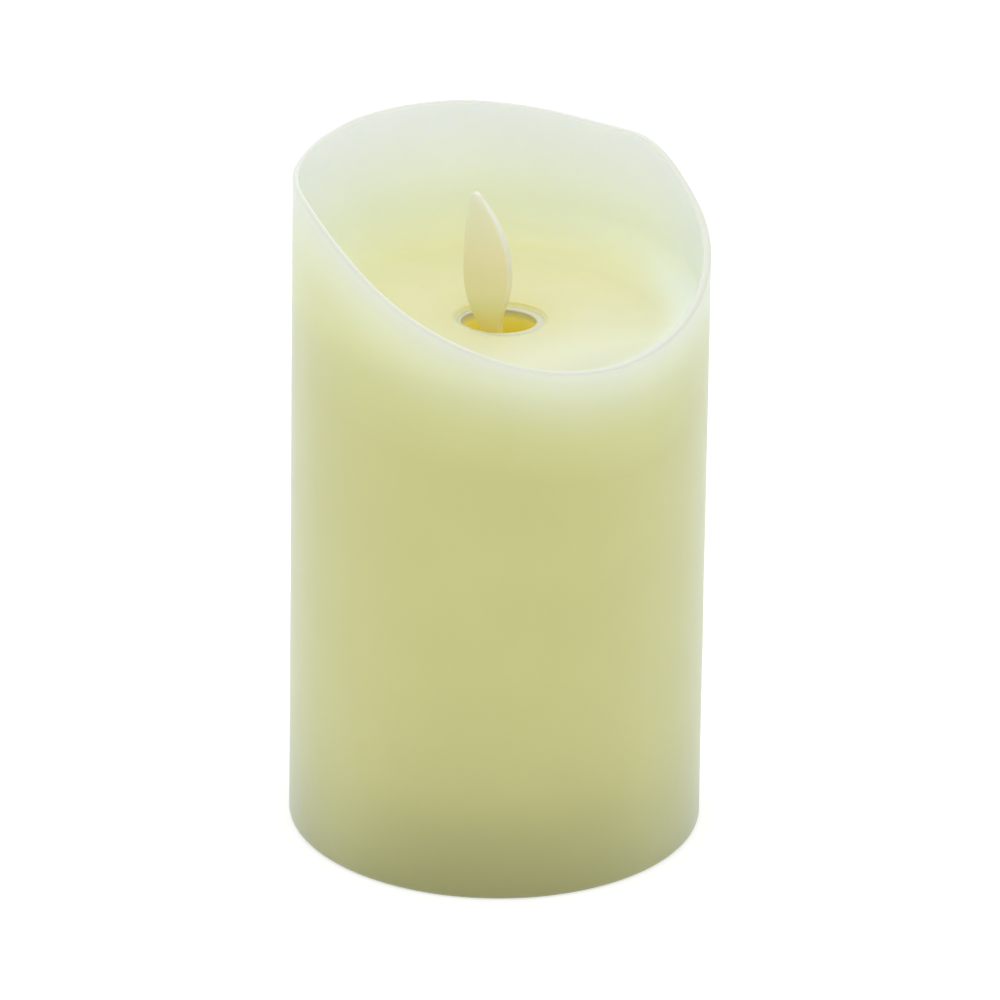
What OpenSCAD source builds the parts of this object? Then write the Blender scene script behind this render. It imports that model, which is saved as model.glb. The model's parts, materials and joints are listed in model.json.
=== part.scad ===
// Flameless wax pillar candle: a hollow pillar of real wax with a melted top, and inside it
// a battery-driven light engine whose flame blade hangs on a wire and swings over a coil.
// Origin at the centre of the foot, +Z up. The front is -Y, and azimuths run from the front
// towards +X. The light engine is turned about the pillar's axis by engine_yaw.

/* [Wax pillar] */
// Diameter of the pillar
candle_d = 76.2; // [75:0.1:80]
// Height of the highest point of the melted edge
candle_h = 127.3; // [124:0.1:134]
// Thickness of the wax wall around the hollow
wax_wall = 5.1; // [4:0.1:5.2]
// Thickness of the wax below the melt pool
wax_roof = 6.3; // [5:0.1:6.4]
// Height of the melt pool's floor above the foot
pool_z = 99.7; // [99:0.1:101]
// Radius of the flat part of the melt pool's floor
pool_r = 29.5; // [20:0.5:33]
// Height of the curve that joins the pool's floor to its wall
pool_curve = 8; // [2:0.5:10]
// Width of the rounded edge left standing around the pool
rim_land = 1.5; // [1:0.1:3]
// Diameter of the hole around the flame in the pool's floor
wax_hole_d = 17; // [17:0.1:22]
// Bevel around the foot
foot_bevel = 1; // [0.4:0.1:2]

/* [Melted edge] */
// Rise and fall of the edge all the way round
tilt = 5.9; // [0:0.1:7]
// Azimuth of the high side of that tilt
tilt_at = 216; // [0:1:360]
// Depth of the broad slump on the low side
slump = 11.7; // [0:0.1:12]
// Azimuth of the slump
slump_at = 30; // [0:1:360]
// Angular width of the slump
slump_width = 65; // [20:1:90]
// Height of the short crest beside the slump
crest = 2.5; // [0:0.1:4]
// Azimuth of the crest
crest_at = 134; // [0:1:360]
// Angular width of the crest
crest_width = 15; // [8:1:40]
// Height of the shoulder on the other side of the slump
shoulder = 5.2; // [0:0.1:6]
// Azimuth of the shoulder
shoulder_at = 295; // [0:1:360]
// Angular width of the shoulder
shoulder_width = 30; // [10:1:60]

/* [Flame] */
// Turn of the light engine about the pillar's axis, anticlockwise from above
engine_yaw = -28; // [-180:1:180]
// Lean of the flame to its left as it hangs
flame_lean = 7; // [0:0.5:10]
// Thickness of the flame blade
flame_t = 1.8; // [1.2:0.1:2.4]
// Width of the stem below the blade
stem_w = 3.6; // [3:0.1:3.7]
// Height of the collar's top above the wire that carries the flame
wire_depth = 15; // [14.5:0.1:15.5]
// Diameter of the wire that carries the flame
wire_d = 0.8; // [0.5:0.1:1.2]
// Diameter of the magnet in the flame's tail
magnet_d = 6.4; // [4:0.2:7]
// Height of the magnet
magnet_h = 4.2; // [2:0.2:5]

/* [Collar] */
// Outer diameter of the collar around the flame
collar_od = 16.2; // [16:0.1:16.8]
// Inner diameter of the collar
collar_id = 13.7; // [12.5:0.1:14]
// Depth of the collar's top below the melt pool's floor
collar_sink = 1; // [0.5:0.1:2]

/* [Light engine] */
// Outer diameter of the case around the coil and the flame's tail
case_d = 30; // [29:0.5:31]
// Thickness of the case's wall
case_wall = 1.5; // [1:0.1:2]
// Outer diameter of the coil
coil_d = 12.8; // [10:0.2:14]
// Height of the coil bobbin
bobbin_h = 4.4; // [3:0.1:4.6]
// Diameter of the light-emitting diode
led_d = 3; // [2.5:0.1:3.2]
// Tilt of the diode from upright, towards the blade
led_tilt = 13.5; // [10:0.5:16]
// Diameter of the round circuit board
board_d = 51; // [49:0.5:54]

/* [Batteries] */
// Diameter of an AA cell
cell_d = 14.5; // [13.5:0.1:14.5]
// Height of an AA cell without its positive button
cell_h = 49.5; // [48.5:0.1:49.5]
// Wall of the battery compartment
housing_wall = 1.6; // [1.2:0.1:2]

/* [Base] */
// Height of the base plate above the table
base_lift = 0.8; // [0.4:0.1:1]
// Thickness of the base plate
base_t = 2.2; // [2:0.1:2.4]
// Length of the battery door, along X
door_l = 36; // [35:0.5:37]
// Width of the battery door, along Y
door_w = 19.8; // [19:0.1:20]
// Travel of the power switch to each side of its middle position
switch_travel = 2; // [1:0.5:2.5]

/* [Hidden] */
$fn = 64;

// Clearances
gap = 0.05;          // between parts that are assembled and stay put
play = 0.3;          // around parts that a hand moves
eps = 1;             // how far a cutting shape runs past the surface it cuts
join = 0.1;          // how far shapes that are joined run into each other

// Wax
candle_r = candle_d / 2;
hollow_r = candle_r - wax_wall;
hollow_z = pool_z - wax_roof;
wall_draft = 0.6;    // how much wider the pool is at its edge than at its foot
pool_sides = 72;
rim_wave = [for (a = [0:5:355]) edge_wave(a)];
rim_peak = max(rim_wave);

// Heights up the pillar
base_z = base_lift;
base_top = base_z + base_t;
flange_t = 1.8;
deck_z = base_top + 53.7;
deck_t = 1.8;
deck_top = deck_z + deck_t;
board_z = deck_top + 1.5;
board_t = 1.6;
board_top = board_z + board_t;
case_z = board_top + 0.2;
case_floor = case_z + 1.6;
collar_top = pool_z - collar_sink;
pivot_z = collar_top - wire_depth;
neck_top = hollow_z - 1.2;
shoulder_z = neck_top - 4.2;
shoulder_t = 1.5;

// Light engine
case_r = case_d / 2;
bore_r = collar_id / 2;
neck_r = bore_r + 1.05;
seam_wing_w = 5.8;   // wings along the seam that take the case screws
seam_wing_t = 2;
wing_out = case_r + seam_wing_w;
case_screw_r = 1;
engine_screw_r = 1.2;
engine_screw_l = 6.6;
engine_head_h = 1.5;
big_head_r = 2.4;    // heads of the engine screws and the base screws
wing_screw_y = case_r + 2.6;
wing_screw_z = [case_z + 6, case_z + 20];
wing_boss_l = 2.6;
wing_boss_r = 2.3;
rib_in = 2.9;        // the two ribs that hold the wire stand this far either side of the blade
rib_t = 1.2;
rib_h = 6.5;
foot_x = case_r + 2.8;
foot_w = 8;
foot_t = 2;
foot_hole_r = 1.6;
lead_slot_x = 6.3;   // slot in the case for the leads
lead_slot_w = 5.2;
lead_slot_h = 3;
coil_socket_x = 5.6;
led_socket_x = 9.8;
socket_y = -case_r - 5.6;
socket_floor = 1;

// Flame: stations up the blade from the wire, as [height, left edge, right edge]
blade = [[13, -2.1, 1.65], [15, -2.75, 1.85], [17, -3.75, 2.7], [19.5, -4.4, 3.8],
    [23, -4.65, 4.75], [27, -4.25, 4.95], [31, -3.6, 4.35], [35, -2.8, 2.9],
    [38.4, -1.8, 0.85], [39.5, -1.5, 0.3]];
blade_tip = [-0.65, 40];
stem_x = -0.15;      // how far the stem stands to the right of the wire's middle
hub_r = 3;
hub_l = 3;
cup_wall = 0.8;
cup_r = magnet_d / 2 + cup_wall;
cup_bottom = -14.5;
cup_h = magnet_h + 1.2;
tail_w = 5;

// Coil and diode
coil_r = coil_d / 2;
bobbin_flange = 0.8;
bobbin_core_r = 2.4;
led_r = led_d / 2;
led_l = 5.3;
led_front = 5.9;     // how far the diode's tip stands in front of the blade
led_tip_z = pivot_z + 3.3;
led_rim_r = led_r + 0.4;
led_rim_h = 1;
led_leg_l = 5;
led_leg_x = 0.9;

// Board
post_r = 3;
board_screw_r = 1;
board_screw_out = 22.4;
board_screw_at = [25, 155, 205, 335];
wire_r = 0.6;

// Batteries
cell_r = cell_d / 2;
cell_x = cell_r + 0.2;
button_r = 2.75;
button_h = 1;
bay_l = 4 * cell_r + 1.4;
bay_w = 2 * cell_r + 0.9;
housing_l = bay_l + 2 * housing_wall;
housing_w = bay_w + 2 * housing_wall;
deck_r = 27;
flange_r = 29;
plate_t = 0.4;       // sheet of the battery contacts
plate_w = 10;
spring_wire_r = 0.3;
door_t = 1.6;
door_in = base_z + door_t;
cell_1_z = door_in + plate_t + 2.6;
dimple_h = 0.5;
cell_2_z = door_in + plate_t + dimple_h + button_h;
terminal_z = deck_z - gap - plate_t;
tab_y = 6;
tab_l = 3;
tab_t = 0.5;

// Battery door hinge
hinge_y = -door_w / 2 - 1.5;
hinge_z = base_z + 1.1;
knuckle_r = 1.1;
hinge_pin_r = 0.6;
knuckle_x = 13.5;    // outer end of each knuckle
knuckle_l = 5;
hinge_pin_l = 2.2;
hinge_lug_l = 3;
hinge_gap = 0.6;     // room for the door's edge as it turns

// Base fixings
base_screw_x = 22;
base_screw_y = 14.5;
base_screw_r = 1.2;
base_head_h = 1.2;   // depth to which the base screws' heads are sunk
base_ring_t = 1.5;
base_ring_h = 6;
switch_y = 21;
switch_ear_l = 19;
switch_w = 5;
switch_can_l = 10.5;
switch_can_h = 4.2;
switch_screw_x = 7.6;
switch_screw_r = 0.85;
switch_pin_x = [-2.5, 0, 2.5];
switch_pin_h = 2;
switch_plate_t = 0.6;
knob_l = 4.6;
knob_w = 3.8;
knob_stem_l = 2.4;
knob_stem_w = 1.8;
knob_stem_h = 2.2;

wax = [0.86, 0.86, 0.66];
white_plastic = [0.93, 0.92, 0.88];
ivory_plastic = [0.95, 0.93, 0.80];
steel = [0.75, 0.76, 0.78];
copper = [0.80, 0.45, 0.25];
board_green = [0.10, 0.42, 0.22];

// ---- Helpers -------------------------------------------------------------------------

// Angle a brought into -180 to 180
function near_zero(a) = (a + 720 + 180) % 360 - 180;

// A smooth hump of height 1 at azimuth a
function hump(a, at, width) = exp(-pow(near_zero(a - at) / width, 2));

// Height of the melted edge at azimuth a, above an arbitrary level
function edge_wave(a) = tilt * cos(a - tilt_at) - slump * hump(a, slump_at, slump_width)
    + crest * hump(a, crest_at, crest_width) + shoulder * hump(a, shoulder_at, shoulder_width);

// Height of the melted edge above the foot
function rim_z(a) = candle_h - rim_peak + edge_wave(a);

// Point at azimuth a, radius r and height z
function around(a, r, z) = [r * sin(a), -r * cos(a), z];

// One stretch of a smooth curve from p1 to p2, with p0 and p3 as its neighbours
function curve_point(p0, p1, p2, p3, t) = 0.5 * (2 * p1 + (p2 - p0) * t
    + (2 * p0 - 5 * p1 + 4 * p2 - p3) * pow(t, 2) + (3 * p1 - p0 - 3 * p2 + p3) * pow(t, 3));

// A smooth open curve through the points, with n steps to a stretch
function smooth_curve(points, n = 4) = [for (i = [0:len(points) - 2], k = [0:n - 1])
    curve_point(points[max(i - 1, 0)], points[i], points[i + 1],
        points[min(i + 2, len(points) - 1)], k / n)];

// Everything in the light engine is drawn facing the front and then turned
module in_engine() {
    rotate([0, 0, engine_yaw]) children();
}

// The children, leaning with the flame about the wire
module on_flame() {
    in_engine() translate([0, 0, pivot_z]) rotate([0, -flame_lean, 0]) children();
}

// A vector at unit length
function unit(v) = v / norm(v);

// A round wire of radius r along the path, which is nowhere parallel to the direction across
module sweep(path, r, across, sides = 8) {
    last = len(path) - 1;
    points = [for (i = [0:last]) let (
            along = unit(path[min(i + 1, last)] - path[max(i - 1, 0)]),
            u = unit(cross(along, across)),
            v = cross(u, along))
        each [for (j = [0:sides - 1]) let (t = 360 * j / sides)
            path[i] + r * (cos(t) * u + sin(t) * v)]];
    walls = [for (i = [0:last - 1], j = [0:sides - 1])
        let (k = (j + 1) % sides, p = i * sides, q = p + sides)
        each [[p + j, q + j, p + k], [p + k, q + j, q + k]]];
    start_cap = [for (j = [0:sides - 1]) j];
    end_cap = [for (j = [sides - 1:-1:0]) last * sides + j];
    polyhedron(points, concat(walls, [start_cap, end_cap]));
}

// An insulated lead: straight at both ends and smoothly bent between
module lead(points, r = wire_r) {
    last = len(points) - 1;
    bends = smooth_curve([for (i = [1:last - 1]) points[i]], 3);
    sweep(concat([points[0]], bends, [points[last - 1], points[last]]), r, [1, 0, 0]);
}

// A box centred in X and Y that stands on z = 0
module block(size) {
    translate([-size.x / 2, -size.y / 2, 0]) cube(size);
}

// A pan-head screw that points down from z = 0 under its head
module screw(shank_r, length, head_r = 1.9, head_h = 1.2) {
    cross_l = 1.3 * head_r;
    cross_w = 0.4;
    difference() {
        union() {
            cylinder(h = head_h, r = head_r);
            translate([0, 0, -length]) cylinder(h = length + head_h / 2, r = shank_r);
        }
        translate([0, 0, head_h / 2]) block([cross_l, cross_w, head_h]);
        translate([0, 0, head_h / 2]) block([cross_w, cross_l, head_h]);
    }
}

// A conical spring standing on z = 0, from radius r1 at its foot to r2 at its top
module spring(r1, r2, height, turns, r) {
    steps = 18 * turns;
    sweep([for (i = [0:steps]) let (f = i / steps, a = 360 * turns * f, reach = r1 + (r2 - r1) * f)
        [reach * cos(a), reach * sin(a), r + gap / 2 + (height - 2 * r - gap) * f]], r, [0, 0, 1]);
}

// ---- Wax -----------------------------------------------------------------------------

// Section of the melt pool at azimuth a, from the flat floor out over the edge
function pool_section(a) = let (
        z = rim_z(a),
        foot_r = candle_r - rim_land - wall_draft,
        curve_h = min(pool_curve, 0.7 * (z - pool_z)),
        lip_r = rim_land / 2)
    concat(
        [for (t = [0:15:90]) [pool_r + (foot_r - pool_r) * sin(t), pool_z + curve_h * (1 - cos(t))]],
        [for (t = [180:-30:30]) [candle_r - lip_r + lip_r * cos(t), z - lip_r + lip_r * sin(t)]],
        [[candle_r + 2 * eps, z - 3 * lip_r], [candle_r + 2 * eps, candle_h + 5 * eps]]);

// Everything above the melted top
module melted_away() {
    step = 360 / pool_sides;
    count = len(pool_section(0));
    points = [for (i = [0:pool_sides - 1]) let (a = i * step)
        each [for (p = pool_section(a)) around(a, p.x, p.y)]];
    walls = [for (i = [0:pool_sides - 1], j = [0:count - 2])
        let (p = i * count + j, q = ((i + 1) % pool_sides) * count + j)
        each [[p, p + 1, q], [q, p + 1, q + 1]]];
    pool_floor = [for (i = [0:pool_sides - 1]) i * count];
    top = [for (i = [pool_sides - 1:-1:0]) (i + 1) * count - 1];
    polyhedron(points, concat(walls, [pool_floor, top]));
}

module wax_shell() {
    color(wax) difference() {
        rotate_extrude($fn = 180) polygon([[0, 0], [candle_r - foot_bevel, 0], [candle_r, foot_bevel],
            [candle_r, candle_h + eps], [0, candle_h + eps]]);
        melted_away();
        translate([0, 0, -eps]) cylinder(h = hollow_z + eps, r = hollow_r, $fn = 120);
        cylinder(h = candle_h, d = wax_hole_d);
    }
}

// ---- Light engine --------------------------------------------------------------------

// The ring that shows around the flame. Its skirt clips the two case halves together.
module flame_collar() {
    collar_r = collar_od / 2;
    round = 0.4;
    skirt_r = neck_r + gap;
    skirt_out = skirt_r + 1.3;
    flange_top = hollow_z - 0.2;
    color(white_plastic) rotate_extrude() polygon([
        [bore_r, neck_top + gap], [bore_r, collar_top - round], [bore_r + round, collar_top],
        [collar_r - round, collar_top], [collar_r, collar_top - round], [collar_r, flange_top],
        [skirt_out, flange_top], [skirt_out, shoulder_z + shoulder_t + gap],
        [skirt_r, shoulder_z + shoulder_t + gap], [skirt_r, neck_top + gap]]);
}

// Outline of the flame blade: up its left edge, over the tip and down its right edge
function blade_outline() = concat(
    smooth_curve(concat([for (s = blade) [s[1], s[0]]], [blade_tip])),
    smooth_curve(concat([blade_tip], [for (i = [len(blade) - 1:-1:0]) [blade[i][2], blade[i][0]]])),
    [[blade[0][2], blade[0][0]]]);

module flame() {
    cup_top = cup_bottom + cup_h;
    color(ivory_plastic) on_flame() difference() {
        union() {
            translate([0, flame_t / 2, 0]) rotate([90, 0, 0]) linear_extrude(flame_t) {
                polygon(blade_outline());
                translate([stem_x - stem_w / 2, 0]) square([stem_w, blade[0][0] + 2 * join]);
                translate([-tail_w / 2, cup_top - 2 * join]) square([tail_w, 2 * join - cup_top]);
            }
            rotate([90, 0, 0]) cylinder(h = hub_l, r = hub_r, center = true);
            translate([0, 0, cup_bottom]) cylinder(h = cup_h, r = cup_r);
        }
        rotate([90, 0, 0]) cylinder(h = hub_l + eps, r = wire_d / 2 + gap, center = true);
        translate([0, 0, cup_bottom - eps])
            cylinder(h = magnet_h + gap + eps, r = magnet_d / 2 + gap);
    }
}

module flame_magnet() {
    color(steel) on_flame() translate([0, 0, cup_bottom]) cylinder(h = magnet_h, d = magnet_d);
}

module pivot_wire() {
    color(steel) in_engine() translate([0, 0, pivot_z]) rotate([90, 0, 0])
        cylinder(h = 2 * (rib_in + rib_t), d = wire_d, center = true);
}

// Both halves of the case as one body, before the seam is cut
module whole_case() {
    inner_r = case_r - case_wall;
    top_z = shoulder_z + shoulder_t;
    root = case_r - 0.5;         // wings and feet start inside the wall
    foot_end = foot_x + 3.5;
    rotate_extrude() polygon([[0, case_z], [case_r, case_z], [case_r, top_z], [neck_r, top_z],
        [neck_r, neck_top], [bore_r, neck_top], [bore_r, shoulder_z], [inner_r, shoulder_z],
        [inner_r, case_floor], [0, case_floor]]);
    for (side = [-1, 1]) {
        // wings along the seam
        translate([0, side * (root + wing_out) / 2, case_z])
            block([2 * seam_wing_t, wing_out - root, shoulder_z - case_z]);
        // ribs that hold the wire
        intersection() {
            translate([0, side * (rib_in + rib_t / 2), pivot_z - rib_h / 2])
                block([case_d, rib_t, rib_h]);
            cylinder(h = shoulder_z, r = inner_r + 2 * join);
        }
        // feet for the two engine screws
        translate([side * (root + foot_end) / 2, 0, case_z]) block([foot_end - root, foot_w, foot_t]);
    }
    // bosses that the seam screws bite into
    for (side = [-1, 1], z = wing_screw_z)
        translate([seam_wing_t - 2 * join, side * wing_screw_y, z]) rotate([0, 90, 0])
            cylinder(h = wing_boss_l, r = wing_boss_r);
}

// Every hole in the case
module case_holes() {
    blind = 0.8;                 // length of the bosses that stays closed
    for (side = [-1, 1]) {
        for (z = wing_screw_z)
            translate([-seam_wing_t - eps, side * wing_screw_y, z]) rotate([0, 90, 0])
                cylinder(h = 2 * seam_wing_t + wing_boss_l + eps - blind, r = case_screw_r + gap);
        translate([side * foot_x, 0, case_z - eps]) cylinder(h = foot_t + 2 * eps, r = foot_hole_r);
    }
    translate([0, 0, pivot_z]) rotate([90, 0, 0])
        cylinder(h = 2 * (rib_in + rib_t + eps), r = wire_d / 2 + gap, center = true);
    // way out for the leads of the coil and the diode
    translate([lead_slot_x, -case_r, case_floor]) block([lead_slot_w, case_r, lead_slot_h]);
}

// One half of the case: side -1 is the left one
module case_half(side) {
    reach = wing_out + eps;
    in_engine() difference() {
        intersection() {
            whole_case();
            translate([side * (reach / 2 + gap / 2), 0, 0]) block([reach, 2 * reach, candle_h]);
        }
        case_holes();
    }
}

module case_left() {
    color(white_plastic) case_half(-1);
}

module case_right() {
    color(white_plastic) case_half(1);
}

module case_screws() {
    color(steel) in_engine() for (side = [-1, 1], z = wing_screw_z)
        translate([-seam_wing_t, side * wing_screw_y, z]) rotate([0, -90, 0])
            screw(case_screw_r, 2 * seam_wing_t + 1.4);
}

module coil_bobbin() {
    rim_r = coil_r + 0.6;
    bobbin_bore_r = 1.2;
    color([0.2, 0.2, 0.22]) translate([0, 0, case_floor]) difference() {
        union() {
            cylinder(h = bobbin_h, r = bobbin_core_r);
            cylinder(h = bobbin_flange, r = rim_r);
            translate([0, 0, bobbin_h - bobbin_flange]) cylinder(h = bobbin_flange, r = rim_r);
        }
        translate([0, 0, -eps]) cylinder(h = bobbin_h + 2 * eps, r = bobbin_bore_r);
    }
}

module coil_winding() {
    height = bobbin_h - 2 * (bobbin_flange + gap);
    color(copper) translate([0, 0, case_floor + bobbin_flange + gap]) difference() {
        cylinder(h = height, r = coil_r);
        translate([0, 0, -eps]) cylinder(h = height + 2 * eps, r = bobbin_core_r + gap);
    }
}

// Two thin leads from the winding out through the slot in the case, into their socket
module coil_leads() {
    lead_r = 0.25;
    winding_z = case_floor + bobbin_h / 2;
    color(copper) in_engine() for (side = [-1, 1])
        let (x = lead_slot_x - 1.6 + 0.4 * side, socket_x = coil_socket_x + 0.5 * side)
        lead([[x, -sqrt(pow(coil_r, 2) - pow(x - lead_r, 2)) - gap, winding_z],
            [x, -coil_r - 1, winding_z], [x, -coil_r - 3, case_floor + 1],
            [x, -case_r - 1, case_floor + 1], [socket_x, socket_y + 1, board_top + 4],
            [socket_x, socket_y, board_top + 4],
            [socket_x, socket_y, board_top + socket_floor]], lead_r);
}

// The children, in the diode's own frame: its tip at the origin, its legs towards -Z
module on_led() {
    in_engine() translate([0, -led_front, led_tip_z]) rotate([-led_tilt, 0, 0]) children();
}

module led() {
    leg_w = 0.45;
    color([1, 0.85, 0.45]) on_led() {
        translate([0, 0, -led_r]) sphere(r = led_r);
        translate([0, 0, -led_l]) cylinder(h = led_l - led_r, r = led_r);
        translate([0, 0, -led_l]) cylinder(h = led_rim_h, r = led_rim_r);
        for (x = [-led_leg_x, led_leg_x]) translate([x, 0, -led_l - led_leg_l])
            block([leg_w, leg_w, led_leg_l + join]);
    }
}

// Sleeve that holds the diode at its tilt, on a tab that is trapped in the case's seam
module led_holder() {
    sleeve_l = 2.6;
    sleeve_bottom = -led_l + led_rim_h + gap;
    tab_in = led_front + 2;
    tab_out = case_r - case_wall - 0.2;
    color([0.15, 0.15, 0.16]) difference() {
        union() {
            on_led() translate([0, 0, sleeve_bottom]) cylinder(h = sleeve_l, r = led_r + 0.8);
            in_engine() translate([0, -(tab_in + tab_out) / 2, led_tip_z - led_l + 2])
                block([3, tab_out - tab_in, 1.6]);
        }
        on_led() translate([0, 0, sleeve_bottom - eps]) cylinder(h = sleeve_l + 2 * eps, r = led_r + gap);
    }
}

// A point s below the diode's tip, at x across, in the light engine's frame
function under_led(x, s) = [x, -led_front - s * sin(led_tilt), led_tip_z - s * cos(led_tilt)];

// Two leads from the diode's legs out through the slot in the case, into their socket
module led_leads() {
    lead_r = 0.45;
    leg_end = led_l + led_leg_l;
    color([0.75, 0.15, 0.12]) in_engine() for (side = [-1, 1])
        let (leg_x = led_leg_x * side, slot_x = lead_slot_x + 1.1 + side * 0.6,
            socket_x = led_socket_x + side * 0.65)
        lead([under_led(leg_x, leg_end), under_led(leg_x, leg_end + 1.5),
            [3 + side * 0.8, -10, case_floor + 7], [slot_x, -9.2, case_floor + 2],
            [slot_x, -case_r - 0.5, case_floor + 1.5], [socket_x, socket_y + 1, board_top + 4],
            [socket_x, socket_y, board_top + 4],
            [socket_x, socket_y, board_top + socket_floor]], lead_r);
}

// ---- Control board -------------------------------------------------------------------

// The children, at radius r and angle a on top of the board
module on_board(a, r) {
    in_engine() rotate([0, 0, a]) translate([r, 0, board_top]) children();
}

module control_board() {
    color(board_green) in_engine() translate([0, 0, board_z]) difference() {
        cylinder(h = board_t, d = board_d);
        for (side = [-1, 1]) translate([side * foot_x, 0, -eps])
            cylinder(h = board_t + 2 * eps, r = post_r + 0.2);
        for (a = board_screw_at) rotate([0, 0, a]) translate([board_screw_out, 0, -eps])
            cylinder(h = board_t + 2 * eps, r = board_screw_r + 2 * gap);
    }
}

module control_chip() {
    color([0.12, 0.12, 0.13]) on_board(55, 20) {
        translate([0, 0, 0.2]) block([3.9, 4.9, 1.4]);
        for (side = [-1, 1], y = [-1.9:1.27:2]) translate([side * 2.4, y, 0])
            block([1.2, 0.4, 0.5]);
    }
}

module capacitor() {
    can_r = 3.1;
    color([0.15, 0.2, 0.45]) on_board(125, 20.5) {
        cylinder(h = 6.5, r = can_r);
        translate([0, 0, 6.4]) cylinder(h = 0.5, r = can_r - 0.5);
    }
}

module driver_transistor() {
    color([0.12, 0.12, 0.13]) on_board(235, 20.5) {
        translate([0, 0, 0.1]) block([2.9, 1.3, 1]);
        for (p = [[-0.95, -1], [0.95, -1], [0, 1]]) translate([p.x, p.y, 0]) block([0.4, 1, 0.3]);
    }
}

module resistors() {
    color([0.2, 0.2, 0.22]) for (a = [75, 140, 222, 318]) on_board(a, 22.5) block([1.2, 2, 0.55]);
}

// Two plug sockets for the leads of the coil and the diode
module lead_sockets() {
    color(white_plastic) for (x = [coil_socket_x, led_socket_x]) in_engine()
        translate([x, socket_y, board_top]) difference() {
            block([3.6, 3, 3]);
            translate([0, 0, socket_floor]) block([2.6, 2, 3]);
        }
}

module board_screws() {
    color(steel) for (a = board_screw_at) on_board(a, board_screw_out)
        screw(board_screw_r, board_t + 3);
}

module engine_screws() {
    color(steel) in_engine() for (side = [-1, 1])
        translate([side * foot_x, 0, case_z + foot_t])
            screw(engine_screw_r, engine_screw_l, big_head_r, engine_head_h);
}

// ---- Battery housing -----------------------------------------------------------------

// Bay for the two cells, with a flange that screws to the base plate and a deck for the board
module battery_housing() {
    bay_h = deck_z - base_top;
    hinge_room_l = 2 * (knuckle_x + hinge_pin_l + 2);
    color(white_plastic) difference() {
        union() {
            translate([0, 0, base_top]) cylinder(h = flange_t, r = flange_r);
            translate([0, 0, base_top]) block([housing_l, housing_w, bay_h + join]);
            translate([0, 0, deck_z]) cylinder(h = deck_t, r = deck_r);
            in_engine() for (side = [-1, 1]) translate([side * foot_x, 0, deck_z]) {
                cylinder(h = board_z - deck_z, r = post_r + 1);
                cylinder(h = case_z - gap - deck_z, r = post_r);
            }
            in_engine() for (a = board_screw_at) rotate([0, 0, a])
                translate([board_screw_out, 0, deck_z]) cylinder(h = board_z - deck_z, r = 2.6);
        }
        difference() {
            translate([0, 0, base_top - eps]) block([bay_l, bay_w, bay_h + eps]);
            // ribs that keep the cells apart
            for (side = [-1, 1]) translate([0, side * (bay_w / 2 - 1.6), base_top + 6])
                block([1, 3.4, deck_z]);
        }
        // pilot holes in the posts
        in_engine() for (side = [-1, 1]) translate([side * foot_x, 0, case_z - 5.6])
            cylinder(h = 5.6 + eps, r = engine_screw_r + gap);
        in_engine() for (a = board_screw_at) rotate([0, 0, a])
            translate([board_screw_out, 0, deck_z - eps]) cylinder(h = 5, r = board_screw_r + gap);
        // slots for the terminal tabs
        for (side = [-1, 1]) translate([side * cell_x, tab_y, deck_z - eps])
            block([tab_l + 0.4, tab_t + 0.4, deck_t + 2 * eps]);
        // room for the hinge, the switch, the switch's leads and the base screws
        translate([0, -housing_w / 2 - 2.6, base_top - eps])
            block([hinge_room_l, 5.2 - gap, flange_t + 2 * eps]);
        translate([0, switch_y, base_top - eps])
            block([switch_ear_l + 3, switch_w + 3, flange_t + 2 * eps]);
        translate([0, deck_r - 2, deck_z - eps]) block([10, 8, deck_t + 2 * eps]);
        for (x = [-base_screw_x, base_screw_x], y = [-base_screw_y, base_screw_y])
            translate([x, y, base_top - eps]) cylinder(h = flange_t + 2 * eps, r = base_screw_r + gap);
    }
}

// Contact sheet at the top of a bay, with a tab up through the deck
module terminal(x) {
    edge = plate_w / 2;
    translate([x, 0, terminal_z]) {
        block([plate_w, plate_w, plate_t]);
        translate([0, (edge + tab_y) / 2, 0]) block([tab_l, tab_y - edge + tab_t, plate_t]);
        translate([0, tab_y, 0]) block([tab_l, tab_t, deck_t + 1.2]);
    }
}

module positive_terminal() {
    contact_z = cell_1_z + cell_h + button_h;
    color(steel) {
        terminal(-cell_x);
        translate([-cell_x, 0, contact_z]) cylinder(h = terminal_z - contact_z + join, r = 2);
    }
}

module negative_terminal() {
    color(steel) terminal(cell_x);
}

module negative_spring() {
    color(steel) translate([cell_x, 0, cell_2_z + cell_h])
        spring(3, 4.4, terminal_z - cell_2_z - cell_h, 2.5, spring_wire_r);
}

// A lead from a terminal's tab to the underside of the board
module battery_lead(side) {
    level = deck_top + 0.75;
    lead([[side * cell_x, tab_y + tab_t / 2, level], [side * cell_x, tab_y + 4, level],
        [side * (cell_x + 3), tab_y + 8, level], [side * (cell_x + 3), tab_y + 8, board_z]]);
}

module positive_lead() {
    color("red") battery_lead(-1);
}

module negative_lead() {
    color([0.1, 0.1, 0.1]) battery_lead(1);
}

// An AA cell standing on z = 0 with its button up
module cell() {
    edge = 0.5;
    top = cell_h + button_h;
    rotate_extrude() polygon([[0, 0], [cell_r - edge, 0], [cell_r, edge], [cell_r, cell_h - edge],
        [cell_r - edge, cell_h], [button_r, cell_h], [button_r, top], [0, top]]);
}

module cell_1() {
    color([0.55, 0.58, 0.62]) translate([-cell_x, 0, cell_1_z]) cell();
}

module cell_2() {
    color([0.55, 0.58, 0.62]) translate([cell_x, 0, cell_2_z + cell_h]) mirror([0, 0, 1]) cell();
}

// ---- Base ----------------------------------------------------------------------------

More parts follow.
